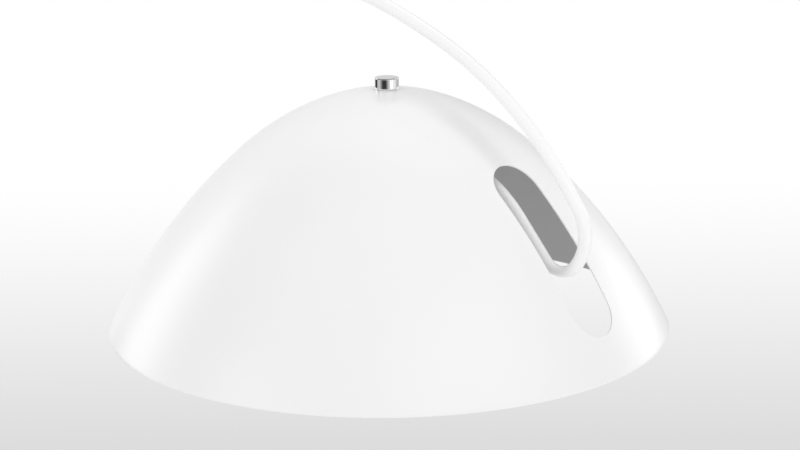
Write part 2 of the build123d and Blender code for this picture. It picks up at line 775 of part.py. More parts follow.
with BuildPart() as bulb_cap:
    with BuildSketch(at_pivot(-bulb_cap_level)):
        Circle(bulb_cap_diameter / 2)
    extrude(amount=-bulb_cap_height)
    with BuildSketch(at_pivot(-bulb_cap_level - bulb_cap_wall)):
        Circle(bulb_cap_diameter / 2 - bulb_cap_wall)
    extrude(amount=-bulb_cap_height + bulb_cap_wall, mode=Mode.SUBTRACT)
    with BuildSketch(at_pivot(-bulb_cap_level)):
        Circle(bulb_tip_diameter / 2)
    extrude(amount=-bulb_cap_wall, mode=Mode.SUBTRACT)
save(bulb_cap, "bulb_cap")


def draw_bulb(skin):
    """Draw the glass from its neck to its tip at a depth below its surface; return both ends."""
    neck = bulb_neck_diameter / 2 - skin
    globe = globe_radius - skin
    hollow = bulb_neck_radius + skin
    arc_x = neck + hollow
    arc_drop = sqrt((globe + hollow) ** 2 - arc_x**2)
    turn = degrees(asin(arc_drop / (globe + hollow)))
    neck_end = (neck, -globe_level + arc_drop)
    side = Line((neck, -neck_level), neck_end)
    flare = JernArc(neck_end, (0, -1), hollow, turn)
    body = JernArc(flare @ 1, flare % 1, globe, -turn - 90)
    return side @ 0, body @ 1


with BuildPart() as bulb_glass:
    with BuildSketch(shade_section):
        with BuildLine():
            outer_neck, outer_tip = draw_bulb(0)
            inner_neck, inner_tip = draw_bulb(glass_wall)
            Line(outer_neck, inner_neck)
            Line(outer_tip, inner_tip)
        make_face()
    revolve(axis=shade_axis)
save(bulb_glass, "bulb_glass")
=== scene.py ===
"""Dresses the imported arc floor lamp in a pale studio: spun dome shade, stem, joint, lampholder and base.

The camera and the studio come first, then the shade and the stem, which replace their solids, and last the
finishes of all the other solids.
"""

import json
import math

import bmesh
import bpy
from bpy.props import FloatProperty, FloatVectorProperty, PointerProperty
from mathutils import Matrix, Vector


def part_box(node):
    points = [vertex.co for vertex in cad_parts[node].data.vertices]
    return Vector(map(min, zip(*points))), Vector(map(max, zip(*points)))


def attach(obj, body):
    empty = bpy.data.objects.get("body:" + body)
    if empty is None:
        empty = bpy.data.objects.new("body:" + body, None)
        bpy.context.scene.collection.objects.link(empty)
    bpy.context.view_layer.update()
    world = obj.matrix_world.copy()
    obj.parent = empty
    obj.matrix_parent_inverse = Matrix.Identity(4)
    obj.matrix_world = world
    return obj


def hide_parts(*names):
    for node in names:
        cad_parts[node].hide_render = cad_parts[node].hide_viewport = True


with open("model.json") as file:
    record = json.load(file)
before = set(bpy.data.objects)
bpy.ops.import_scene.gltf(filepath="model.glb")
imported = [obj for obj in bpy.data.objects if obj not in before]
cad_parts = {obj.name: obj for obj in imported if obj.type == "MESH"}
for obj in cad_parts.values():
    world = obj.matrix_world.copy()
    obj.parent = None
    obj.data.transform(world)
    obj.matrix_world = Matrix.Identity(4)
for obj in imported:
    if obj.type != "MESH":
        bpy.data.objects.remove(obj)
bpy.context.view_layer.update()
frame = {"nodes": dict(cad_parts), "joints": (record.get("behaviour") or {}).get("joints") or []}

bl_info = {
    "name": "Arc floor lamp finishes",
    "version": (1, 0, 0),
    "blender": (4, 5, 0),
    "location": "3D View > Sidebar > Arc lamp",
    "description": "Finishes and studio for an arc floor lamp with a slotted dome shade",
    "category": "Object",
}

TILT_PIVOT = Vector(next(joint["pos_m"] for joint in frame["joints"] if joint["name"] == "shade_tilt"))
WHITE = (1.0, 1.0, 1.0, 1.0)
SHARP_ANGLE = math.radians(40)  # faces that meet at more than this keep a crisp edge
DOME_STEPS = (14, 26, 60)  # steps along the dome's crown, flank and skirt
TOOL_PITCH = 0.00035  # distance between the rings that a lathe tool leaves
FLOOR_SQUARENESS = 4.0  # 2 fades the floor in circles, more in squares with round corners


# ---------------------------------------------------------------- sizes and colours
class ArcLampCamera(bpy.types.PropertyGroup):
    """Where the camera stands and how it is aimed."""

    bearing: FloatProperty(
        name="Bearing",
        description="Turn of the camera round the shade's axis, from the -Y side towards +X",
        default=math.radians(41.3),
        subtype="ANGLE",
    )
    reach: FloatProperty(
        name="Reach",
        description="Level distance from the shade's axis",
        default=1.581,
        unit="LENGTH",
    )
    rise: FloatProperty(
        name="Rise",
        description="Height above the shade's rim",
        default=0.506,
        unit="LENGTH",
    )
    aim: FloatProperty(
        name="Aim",
        description="How far the camera looks to the left of the shade's axis",
        default=math.radians(0.38),
        subtype="ANGLE",
    )
    dip: FloatProperty(
        name="Dip",
        description="How far the camera looks down",
        default=math.radians(14.82),
        subtype="ANGLE",
    )
    roll: FloatProperty(
        name="Roll",
        description="Turn of the camera about its own line of sight",
        default=math.radians(-0.55),
        subtype="ANGLE",
    )
    lens: FloatProperty(
        name="Lens",
        description="Focal length on a 36 mm wide sensor, in millimetres",
        default=82.62,
        unit="CAMERA",
    )


class ArcLampStage(bpy.types.PropertyGroup):
    """The floor and the light round the lamp."""

    floor_reach: FloatProperty(
        name="Floor reach",
        description="Half the width of the floor",
        default=60.0,
        unit="LENGTH",
    )
    tone_drop: FloatProperty(
        name="Tone drop",
        description="How much darker than white the floor is at the near distance",
        default=0.277,
        subtype="FACTOR",
    )
    near: FloatProperty(
        name="Near",
        description="Distance from the shade's axis at which the floor is that much darker",
        default=3.99,
        unit="LENGTH",
    )
    far: FloatProperty(
        name="Far",
        description="Distance from the shade's axis at which the floor is white",
        default=7.73,
        unit="LENGTH",
    )
    fall: FloatProperty(
        name="Fall",
        description="Power of the floor's fade",
        default=1.6,
    )
    lit_floor: FloatProperty(
        name="Lit floor",
        description="Distance from the shade's axis at which the floor has stopped holding a shadow",
        default=3.2,
        unit="LENGTH",
    )
    lit_edge: FloatProperty(
        name="Lit edge",
        description="Width of the band over which the shadow fades, inside that distance",
        default=0.8,
        unit="LENGTH",
    )
    diffuse_level: FloatProperty(
        name="Diffuse level",
        description="Brightness of the studio as it lights a matte surface",
        default=1.02,
    )
    fill_level: FloatProperty(
        name="Fill level",
        description="Brightness of the floor as it lights a matte surface",
        default=0.95,
    )
    key_share: FloatProperty(
        name="Key share",
        description="Part of a matte surface's light that comes from the key lamp, where it faces the lamp",
        default=0.22,
        subtype="FACTOR",
    )
    key_width: FloatProperty(
        name="Key width",
        description="Angle that the key lamp fills",
        default=math.radians(32.0),
        subtype="ANGLE",
    )
    key_patch: FloatProperty(
        name="Key patch",
        description="Angle from the key lamp within which the studio gives up the light that the lamp adds",
        default=math.radians(40.0),
        subtype="ANGLE",
    )
    key_patch_edge: FloatProperty(
        name="Key patch edge",
        description="Half the angle over which that patch fades",
        default=math.radians(8.0),
        subtype="ANGLE",
    )
    key_bearing: FloatProperty(
        name="Key bearing",
        description="Bearing of the key lamp from the camera's side, positive to the right",
        default=math.radians(50.0),
        subtype="ANGLE",
    )
    key_rise: FloatProperty(
        name="Key rise",
        description="Angle of the key lamp above the horizon",
        default=math.radians(32.0),
        subtype="ANGLE",
    )
    card_distance: FloatProperty(
        name="Card distance",
        description="Distance of the reflection cards from the shade's axis",
        default=2.2,
        unit="LENGTH",
    )


class ArcLampShade(bpy.types.PropertyGroup):
    """The spun dome and its slot, on the same three arcs as the solid."""

    wall: FloatProperty(name="Wall", description="Sheet thickness", default=0.0012, unit="LENGTH")
    rim_radius: FloatProperty(
        name="Rim radius", description="Half the dome's width", default=0.25, unit="LENGTH"
    )
    apex_rise: FloatProperty(
        name="Apex rise", description="Height of the flat seat above the pivot", default=0.05, unit="LENGTH"
    )
    seat_radius: FloatProperty(
        name="Seat radius", description="Half the width of the flat seat", default=0.011, unit="LENGTH"
    )
    bore_radius: FloatProperty(
        name="Bore radius", description="Hole for the spindle's thread", default=0.0043, unit="LENGTH"
    )
    crown_radius: FloatProperty(name="Crown radius", description="First arc", default=0.168, unit="LENGTH")
    crown_slope: FloatProperty(
        name="Crown slope",
        description="Slope where the crown ends",
        default=math.radians(19.9),
        subtype="ANGLE",
    )
    flank_radius: FloatProperty(name="Flank radius", description="Second arc", default=0.228, unit="LENGTH")
    flank_slope: FloatProperty(
        name="Flank slope",
        description="Slope where the flank ends",
        default=math.radians(41.4),
        subtype="ANGLE",
    )
    skirt_radius: FloatProperty(name="Skirt radius", description="Third arc", default=0.502, unit="LENGTH")
    slot_slope: FloatProperty(
        name="Slot slope",
        description="Slope at the slot's middle",
        default=math.radians(50.5),
        subtype="ANGLE",
    )
    slot_length: FloatProperty(name="Slot length", description="End to end", default=0.166, unit="LENGTH")
    slot_width: FloatProperty(name="Slot width", description="Across the slot", default=0.051, unit="LENGTH")
    outside: FloatVectorProperty(
        name="Outside", description="Colour of the paint outside", default=(0.90, 0.90, 0.90), subtype="COLOR"
    )
    inside: FloatVectorProperty(
        name="Inside", description="Colour of the paint inside", default=(0.34, 0.34, 0.34), subtype="COLOR"
    )


class ArcLampStem(bpy.types.PropertyGroup):
    """The stem's paint and the tight bend where it hooks into the shade."""

    paint: FloatVectorProperty(
        name="Paint", description="Colour of the stem", default=(0.97, 0.97, 0.97), subtype="COLOR"
    )
    bend_reach: FloatProperty(
        name="Bend reach",
        description="Distance from the shade's axis to the middle of the tight bend",
        default=0.188416,
        unit="LENGTH",
    )
    bend_drop: FloatProperty(
        name="Bend drop",
        description="Depth of the middle of the tight bend below the pivot",
        default=0.062768,
        unit="LENGTH",
    )
    bend_radius: FloatProperty(
        name="Bend radius",
        description="Radius of the tube's centre line in the tight bend",
        default=0.0194,
        unit="LENGTH",
    )
    bend_spread: FloatProperty(
        name="Bend spread",
        description="Angle to each side of the bend's lowest point over which the tube flattens",
        default=math.radians(65.0),
        subtype="ANGLE",
    )
    flattening: FloatProperty(
        name="Flattening",
        description="Share of its thickness that the tube loses at the lowest point of the bend",
        default=0.18,
        subtype="FACTOR",
    )
    flattening_hold: FloatProperty(
        name="Flattening hold",
        description="Distance inside the centre line at which the flattened tube keeps its place",
        default=0.0035,
        unit="LENGTH",
    )


# Patches of the studio's light as seen in a reflection: bearing from the camera's side, positive to the
# right, and rise, each followed by the spread at which it has faded, in degrees; then the change of level.
LIGHT_PATCHES = (
    (-119, 17, 14, 23, 1.44),
    (-93, 28, 36, 40, -0.76),
    (-60, 16, 26, 14, 0.44),
    (-45, 60, 58, 36, -0.24),
    (45, 55, 38, 18, 0.54),
    (98, 18, 14, 12, -0.64),
    (127, 20, 4, 16, 1.44),
    (165, 18, 12, 28, -0.42),
    (146, 20, 38, 13, -0.8),
    (180, 60, 58, 28, 0.26),
    (150, 72, 70, 20, 0.40),
    (80, 26, 28, 20, -0.50),
    (-28, 38, 24, 18, -0.26),
    (-59, 34, 20, 14, 0.34),
    (-80, 56, 28, 18, -0.24),
    (-86, 16, 14, 14, -0.36),
    (-112, 22, 20, 20, 0.32),
)
PATCH_CORE = 0.4  # share of a patch's spread over which it is even
REFLECTED_LEVEL = 0.8
# Upright cards that only glossy rays see, for the chrome knob to reflect: first and last bearing from the
# camera's side in degrees, and tone.
CARDS = (
    (-140, -134, 0.35),
    (-134, -100, 0.04),
    (-100, -96, 0.30),
    (-96, -62, 0.62),
    (-62, -54, 0.40),
    (-54, -42, 0.22),
    (-42, -2, 0.04),
    (-2, 8, 0.22),
    (8, 18, 0.45),
    (18, 34, 0.72),
    (34, 64, 1.32),
    (64, 98, 0.95),
    (98, 106, 0.48),
    (106, 124, 0.68),
    (124, 164, 0.50),
)
CARD_RISE = (-0.50, -0.14)  # slopes down from the knob to the cards' lower and upper edges
CARD_STEPS = 8  # flat strips in a card's curve
# The level card over the knob, which darkens the bevel round its top.
KNOB_CARD_RADIUS = 0.0135
KNOB_CARD_GAP = 0.0065
KNOB_CARD_TONE = 0.08


# ---------------------------------------------------------------- shader writing
class Wire:
    """An output socket that adds Math nodes when an expression is written with it."""

    def __init__(self, graph, socket):
        self.graph = graph
        self.socket = socket

    def math(self, operation, *others):
        """A Math node on this value and the others, in that order."""
        return self.graph.maths(operation, self, *others)

    def __add__(self, other):
        return self.math("ADD", other)

    __radd__ = __add__

    def __sub__(self, other):
        return self.math("SUBTRACT", other)

    def __rsub__(self, other):
        return self.graph.maths("SUBTRACT", other, self)

    def __mul__(self, other):
        return self.math("MULTIPLY", other)

    __rmul__ = __mul__

    def __truediv__(self, other):
        return self.math("DIVIDE", other)

    def __rtruediv__(self, other):
        return self.graph.maths("DIVIDE", other, self)

    def __pow__(self, other):
        return self.math("POWER", other)

    def __rpow__(self, other):
        return self.graph.maths("POWER", other, self)

    def __abs__(self):
        return self.math("ABSOLUTE")

    def clamped(self):
        return self.graph.node("ShaderNodeClamp", None, {"Value": self})

    def between(self, low, high):
        """0 at low and below, 1 at high and above, smooth in between."""
        inputs = {"Value": self, "From Min": low, "From Max": high}
        return self.graph.node("ShaderNodeMapRange", {"interpolation_type": "SMOOTHSTEP"}, inputs)


class Graph:
    """The node tree of a material or of the world."""

    def __init__(self, owner):
        owner.use_nodes = True
        self.tree = owner.node_tree
        self.tree.nodes.clear()

    def node(self, kind, settings=None, inputs=None, output=0):
        """Add a node: its settings first, then the values or links of its sockets.

        Give back the named output, one for each name in a tuple, or the node where it has none.
        """
        node = self.tree.nodes.new(kind)
        for name, value in (settings or {}).items():
            setattr(node, name, value)
        for key, value in (inputs or {}).items():
            if isinstance(value, Wire):
                self.tree.links.new(value.socket, node.inputs[key])
            else:
                node.inputs[key].default_value = value
        if isinstance(output, tuple):
            return [Wire(self, node.outputs[name]) for name in output]
        return Wire(self, node.outputs[output]) if node.outputs else node

    def maths(self, operation, *values):
        """A Math node on numbers and wires."""
        return self.node("ShaderNodeMath", {"operation": operation}, dict(enumerate(values)))

    def place(self):
        """The point on the object, in metres, in the lamp's own frame at rest."""
        return self.node("ShaderNodeTexCoord", output="Object")

    def axes(self, vector):
        """The three parts of a vector."""
        return self.node("ShaderNodeSeparateXYZ", None, {0: vector}, output=(0, 1, 2))

    def rays(self, *kinds):
        """1 for a ray of that kind and 0 for any other, for each kind."""
        return self.node("ShaderNodeLightPath", output=tuple("Is %s Ray" % kind for kind in kinds))

    def noise(self, scale, detail=2.0, roughness=0.5):
        """Cloudy variation round 0.5; scale is in features per metre."""
        inputs = {"Vector": self.place(), "Scale": scale, "Detail": detail, "Roughness": roughness}
        return self.node("ShaderNodeTexNoise", None, inputs)

    def tint(self, factor, first, second):
        """A colour between two colours."""
        colours = {"Factor": factor, 6: (*first, 1.0), 7: (*second, 1.0)}
        return self.node("ShaderNodeMix", {"data_type": "RGBA"}, colours, output=2)

    def bump(self, height, distance):
        """A surface normal raised by a height of 0 to 1 times a distance in metres."""
        return self.node("ShaderNodeBump", None, {"Height": height, "Distance": distance, "Strength": 1.0})

    def surface(self, **sockets):
        """Finish the tree with a Principled surface; words in a socket's name are joined by underscores."""
        inputs = {name.replace("_", " "): value for name, value in sockets.items()}
        shader = self.node("ShaderNodeBsdfPrincipled", None, inputs)
        self.node("ShaderNodeOutputMaterial", None, {"Surface": shader})


def new_finish(name):
    """A material and its empty node tree."""
    material = bpy.data.materials.new(name)
    return material, Graph(material)


def shades_of(colour, share):
    """A colour and the same colour a share darker."""
    return tuple(colour), tuple(part * (1.0 - share) for part in colour)


def powder_coat(name, colour, roughness=0.34, coat=0.35):
    """Satin powder coat: a faint orange peel under a smooth, slightly glossier skin."""
    material, graph = new_finish(name)
    cloud = graph.noise(7.0, 3.0)
    peel = graph.noise(700.0, 2.0, 0.4)
    graph.surface(
        Base_Color=graph.tint(cloud.between(0.35, 0.7), *shades_of(colour, 0.012)),
        Roughness=roughness + 0.06 * graph.noise(30.0),
        Coat_Weight=coat,
        Coat_Roughness=0.22,
        Normal=graph.bump(peel, 0.00002),
    )
    return material


def chrome(name):
    """Polished chrome with the faintest polishing haze."""
    material, graph = new_finish(name)
    haze = graph.noise(90.0, 4.0, 0.6)
    graph.surface(
        Base_Color=graph.tint(haze, (0.86, 0.86, 0.87), (0.80, 0.80, 0.82)),
        Metallic=1.0,
        Roughness=0.03 + 0.05 * haze,
    )
    return material


def zinc_plate(name):
    """Bright zinc plate: cool grey with a soft crystalline bloom."""
    material, graph = new_finish(name)
    bloom = graph.noise(260.0, 4.0, 0.6)
    graph.surface(
        Base_Color=graph.tint(bloom, (0.66, 0.67, 0.69), (0.52, 0.54, 0.57)),
        Metallic=1.0,
        Roughness=0.26 + 0.16 * bloom,
        Normal=graph.bump(graph.noise(1500.0), 0.00001),
    )
    return material


def turned_metal(name, colour):
    """Turned metal: fine tool rings round the shade's axis."""
    material, graph = new_finish(name)
    x, y, z = graph.axes(graph.place())
    outward = graph.node("ShaderNodeCombineXYZ", None, {0: x - TILT_PIVOT.x, 1: y})
    radius = graph.node("ShaderNodeVectorMath", {"operation": "LENGTH"}, {0: outward}, output="Value")
    rings = ((radius + z) * (2 * math.pi / TOOL_PITCH)).math("SINE")
    cloud = graph.noise(60.0, 3.0)
    graph.surface(
        Base_Color=graph.tint(cloud, *shades_of(colour, 0.15)),
        Metallic=1.0,
        Roughness=0.24 + 0.12 * cloud,
        Normal=graph.bump(rings, 0.000006),
    )
    return material


def cast_iron(name):
    """Sand-cast iron under dark primer."""
    material, graph = new_finish(name)
    grit = graph.noise(350.0, 5.0, 0.65)
    graph.surface(
        Base_Color=graph.tint(grit, (0.045, 0.047, 0.05), (0.10, 0.10, 0.105)),
        Metallic=0.2,
        Roughness=0.62 + 0.2 * grit,
        Normal=graph.bump(grit, 0.0003),
    )
    return material


def soft_rubber(name, colour, grain, depth):
    """Matte rubber with a fine open grain."""
    material, graph = new_finish(name)
    pores = graph.noise(grain, 3.0, 0.6)
    graph.surface(
        Base_Color=graph.tint(pores, *shades_of(colour, 0.25)),
        Roughness=0.78 + 0.12 * pores,
        Normal=graph.bump(pores, depth),
    )
    return material


def moulded_plastic(name, colour, roughness):
    """Moulded plastic with a faint spark-eroded texture."""
    material, graph = new_finish(name)
    texture = graph.noise(1100.0)
    cloud = graph.noise(20.0)
    graph.surface(
        Base_Color=graph.tint(cloud, *shades_of(colour, 0.04)),
        Roughness=roughness + 0.08 * cloud,
        Normal=graph.bump(texture, 0.00002),
    )
    return material


def glazed_ceramic(name):
    """White glaze that pools a little unevenly over the body."""
    material, graph = new_finish(name)
    pool = graph.noise(120.0, 3.0)
    graph.surface(
        Base_Color=graph.tint(pool, (0.86, 0.85, 0.81), (0.79, 0.77, 0.72)),
        Roughness=0.12 + 0.08 * pool,
        Coat_Weight=0.4,
        Coat_Roughness=0.08,
        Normal=graph.bump(pool, 0.00008),
    )
    return material


def opal_glass(name):
    """Opal glass: milky white under a clear, smooth skin."""
    material, graph = new_finish(name)
    milk = graph.noise(40.0, 2.0)
    graph.surface(
        Base_Color=graph.tint(milk, (0.90, 0.90, 0.88), (0.86, 0.86, 0.84)),
        Roughness=0.12 + 0.05 * milk,
        Coat_Weight=0.6,
        Coat_Roughness=0.05,
    )
    return material


# ---------------------------------------------------------------- meshes
def dress(node, material):
    """Give a solid of the frame its finish."""
    slots = frame["nodes"][node].data.materials
    slots.clear()
    slots.append(material)


def arc_points(centre, radius, start, end, count):
    """Points (radius, height) along an arc between two slopes, both ends included."""
    return [
        (
            centre[0] + radius * math.sin(start + (end - start) * i / count),
            centre[1] + radius * math.cos(start + (end - start) * i / count),
        )
        for i in range(count + 1)
    ]


def along_normal(slope, length):
    """A step square to the dome where it has this slope, as (outward, up)."""
    return Vector((length * math.sin(slope), length * math.cos(slope)))


def dome_arcs(sizes):
    """The centre, radius and end slopes of the dome's crown, flank and skirt."""
    seat_slope = math.asin(sizes.seat_radius / sizes.crown_radius)
    crown = Vector((sizes.seat_radius, sizes.apex_rise)) - along_normal(seat_slope, sizes.crown_radius)
    flank = crown + along_normal(sizes.crown_slope, sizes.crown_radius - sizes.flank_radius)
    skirt = flank + along_normal(sizes.flank_slope, sizes.flank_radius - sizes.skirt_radius)
    rim_slope = math.asin((sizes.rim_radius - skirt.x) / sizes.skirt_radius)
    return (
        (crown, sizes.crown_radius, seat_slope, sizes.crown_slope),
        (flank, sizes.flank_radius, sizes.crown_slope, sizes.flank_slope),
        (skirt, sizes.skirt_radius, sizes.flank_slope, rim_slope),
    )


def dome_skin(sizes, depth):
    """The dome's outline at a depth below its outer surface, from the seat to the rim."""
    points = []
    for (centre, radius, start, end), count in zip(dome_arcs(sizes), DOME_STEPS):
        points += arc_points(centre, radius - depth, start, end, count)[1 if points else 0:]
    return points


def revolve(outline, steps, axis):
    """Turn a closed outline of (radius, height) points about an upright axis.

    Give back the mesh, and for each face the step of the outline that swept it.
    """
    mesh = bmesh.new()
    rings = []
    for step in range(steps):
        turn = 2 * math.pi * step / steps
        spots = [(axis.x + r * math.cos(turn), axis.y + r * math.sin(turn), axis.z + h) for r, h in outline]
        rings.append([mesh.verts.new(spot) for spot in spots])
    faces = {}
    for step in range(steps):
        here, there = rings[step], rings[(step + 1) % steps]
        for i in range(len(outline)):
            j = (i + 1) % len(outline)
            faces[mesh.faces.new((here[i], here[j], there[j], there[i]))] = i
    return mesh, faces


def add_object(name, mesh, *materials):
    """Make an object from a bmesh, which is used up."""
    data = bpy.data.meshes.new(name)
    mesh.to_mesh(data)
    mesh.free()
    for material in materials:
        data.materials.append(material)
    thing = bpy.data.objects.new(name, data)
    bpy.context.scene.collection.objects.link(thing)
    return thing


def add_piece(name, mesh, body, slot, *materials):
    """Make a piece of the lamp and ride it on a body; the slot is not used."""
    piece = add_object(name, mesh, *materials)
    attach(piece, body)
    return piece


def seen_from(heading, x, y):
    """Level coordinates ahead of the camera and to its right."""
    return y * math.cos(heading) - x * math.sin(heading), x * math.cos(heading) + y * math.sin(heading)


# ---------------------------------------------------------------- operators
class ARCLAMP_OT_camera(bpy.types.Operator):
    """Stand the camera in front of the shade, a little above its rim"""

    bl_idname = "arclamp.camera"
    bl_label = "Camera"

    def execute(self, context):
        sizes = context.scene.arclamp_camera
        rim_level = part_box("shade")[0].z
        spot = Vector(
            (
                TILT_PIVOT.x + sizes.reach * math.sin(sizes.bearing),
                TILT_PIVOT.y - sizes.reach * math.cos(sizes.bearing),
                rim_level + sizes.rise,
            )
        )
        heading = sizes.bearing - sizes.aim
        forward = Vector(
            (
                -math.sin(heading) * math.cos(sizes.dip),
                math.cos(heading) * math.cos(sizes.dip),
                -math.sin(sizes.dip),
            )
        )
        level_right = forward.cross(Vector((0, 0, 1))).normalized()
        level_up = level_right.cross(forward)
        right = level_right * math.cos(sizes.roll) + level_up * math.sin(sizes.roll)
        up = level_up * math.cos(sizes.roll) - level_right * math.sin(sizes.roll)
        lens = bpy.data.cameras.new("camera")
        lens.sensor_width = 36.0
        lens.lens = sizes.lens
        lens.clip_end = 200.0
        camera = bpy.data.objects.new("camera", lens)
        camera.matrix_world = Matrix.Translation(spot) @ Matrix((right, up, -forward)).transposed().to_4x4()
        context.scene.collection.objects.link(camera)
        context.scene.camera = camera
        return {"FINISHED"}


class ARCLAMP_OT_stage(bpy.types.Operator):
    """Lay a pale floor that fades to white, and light the lamp from all round"""

    bl_idname = "arclamp.stage"
    bl_label = "Stage"

    def execute(self, context):
        sizes = context.scene.arclamp_stage
        view = context.scene.arclamp_camera
        heading = view.bearing - view.aim
        self.lay_floor(sizes, heading)
        turn = heading + sizes.key_bearing
        level = math.cos(sizes.key_rise)
        key = Vector((math.sin(turn) * level, -math.cos(turn) * level, math.sin(sizes.key_rise)))
        self.light_world(context, sizes, heading, key)
        self.hang_lamp(context, sizes, key)
        self.hang_cards(sizes, heading)
        context.scene.view_settings.view_transform = "Standard"
        return {"FINISHED"}

    def lay_floor(self, sizes, heading):
        """A floor painted darker towards the lamp, which holds its shadow and can't be seen from below."""
        material, graph = new_finish("floor_pale")
        x, y, _ = graph.axes(graph.place())
        ahead, aside = seen_from(heading, x - TILT_PIVOT.x, y)
        away = (ahead ** FLOOR_SQUARENESS + aside ** FLOOR_SQUARENESS) ** (1 / FLOOR_SQUARENESS)
        nearness = (sizes.far - away) / (sizes.far - sizes.near)
        # Painted shade: the floor's tone is painted darker towards the lamp, and beyond lit_floor camera and
        # glossy rays see it glowing with that tone.
        tone = 1.0 - sizes.tone_drop * nearness.clamped() ** sizes.fall
        matte = graph.node("ShaderNodeBsdfDiffuse", None, {"Color": tone})
        glow = graph.node("ShaderNodeEmission", None, {"Color": tone})
        camera_ray, glossy_ray, diffuse_ray = graph.rays("Camera", "Glossy", "Diffuse")
        beyond = away.between(sizes.lit_floor - sizes.lit_edge, sizes.lit_floor)
        beyond = beyond * camera_ray.math("MAXIMUM", glossy_ray)
        fill = graph.node("ShaderNodeEmission", None, {"Color": WHITE, "Strength": sizes.fill_level})
        shown = graph.node("ShaderNodeMixShader", None, {0: beyond, 1: matte, 2: glow})
        upper = graph.node("ShaderNodeMixShader", None, {0: diffuse_ray, 1: shown, 2: fill})
        below = graph.node("ShaderNodeNewGeometry", output="Backfacing")
        clear = graph.node("ShaderNodeBsdfTransparent")
        mixed = graph.node("ShaderNodeMixShader", None, {0: below, 1: upper, 2: clear})
        graph.node("ShaderNodeOutputMaterial", None, {"Surface": mixed})
        material.cycles.emission_sampling = "NONE"
        mesh = bmesh.new()
        bmesh.ops.create_grid(mesh, x_segments=1, y_segments=1, size=sizes.floor_reach)
        add_object("floor", mesh, material)

    def light_world(self, context, sizes, heading, key):
        """White to the camera, even to matte surfaces and patchy in reflections."""
        world = bpy.data.worlds.new("studio")
        context.scene.world = world
        graph = Graph(world)
        x, y, z = graph.axes(graph.node("ShaderNodeTexCoord", output="Generated"))
        ahead, aside = seen_from(heading, x, y)
        bearing = aside.math("ARCTAN2", 0.0 - ahead)
        rise = z.math("ARCSINE")
        level = REFLECTED_LEVEL
        for middle, spread, height, height_spread, change in LIGHT_PATCHES:
            sideways = change * self.bell(bearing, middle, spread)
            level = level + sideways * self.bell(rise, height, height_spread)
        level = level.math("MAXIMUM", 0.0)
        facing = x * key.x + y * key.y + z * key.z
        patch_rim = math.cos(sizes.key_patch + sizes.key_patch_edge)
        patch_top = math.cos(sizes.key_patch - sizes.key_patch_edge)
        share = sizes.key_share / math.sin(sizes.key_patch) ** 2
        plain = sizes.diffuse_level - share * facing.between(patch_rim, patch_top)
        camera_ray, glossy_ray = graph.rays("Camera", "Glossy")
        light = plain + (level - plain) * glossy_ray
        strength = light + camera_ray * (1.0 - light)
        shown = graph.node("ShaderNodeBackground", None, {"Color": WHITE, "Strength": strength})
        graph.node("ShaderNodeOutputWorld", None, {"Surface": shown})

    def hang_lamp(self, context, sizes, key):
        """A wide soft sun that lights matte surfaces and shows in no reflection."""
        light = bpy.data.lights.new("key", "SUN")
        light.angle = sizes.key_width
        light.energy = math.pi * sizes.key_share
        lamp = bpy.data.objects.new("key", light)
        lamp.rotation_euler = key.to_track_quat("Z", "Y").to_euler()
        lamp.visible_glossy = False
        context.scene.collection.objects.link(lamp)

    @staticmethod
    def bell(angle, middle, spread):
        """1 round the middle, falling smoothly to 0 a spread away; both in degrees."""
        off = angle - math.radians(middle)
        off = abs(off.math("WRAP", math.pi, -math.pi))
        return 1.0 - off.between(math.radians(PATCH_CORE * spread), math.radians(spread))

    def hang_cards(self, sizes, heading):
        """Stand upright cards round the lamp and hang a small level one over the knob."""
        knob_low, knob_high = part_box("knob")
        for first, last, tone in CARDS:
            mesh = bmesh.new()
            edges = []
            for step in range(CARD_STEPS + 1):
                turn = heading + math.radians(first + (last - first) * step / CARD_STEPS)
                spot = Vector((math.sin(turn), -math.cos(turn), 0.0)) * sizes.card_distance
                spot += Vector((TILT_PIVOT.x, TILT_PIVOT.y, knob_low.z))
                levels = [slope * sizes.card_distance for slope in CARD_RISE]
                edges.append([mesh.verts.new(spot + Vector((0, 0, level))) for level in levels])
            for here, there in zip(edges, edges[1:]):
                mesh.faces.new((here[0], there[0], there[1], here[1]))
            self.add_card("card_%d" % (first + 180), mesh, tone)
        mesh = bmesh.new()
        over = Matrix.Translation((TILT_PIVOT.x, TILT_PIVOT.y, knob_high.z + KNOB_CARD_GAP))
        bmesh.ops.create_circle(mesh, cap_ends=True, segments=48, radius=KNOB_CARD_RADIUS, matrix=over)
        self.add_card("card_over_knob", mesh, KNOB_CARD_TONE)

    def add_card(self, name, mesh, tone):
        """A glowing sheet that only glossy rays see."""
        material, graph = new_finish(name)
        glow = graph.node("ShaderNodeEmission", None, {"Strength": tone})
        graph.node("ShaderNodeOutputMaterial", None, {"Surface": glow})
        material.cycles.emission_sampling = "NONE"
        card = add_object(name, mesh, material)
        card.visible_camera = False
        card.visible_diffuse = False
        card.visible_transmission = False
        card.visible_shadow = False


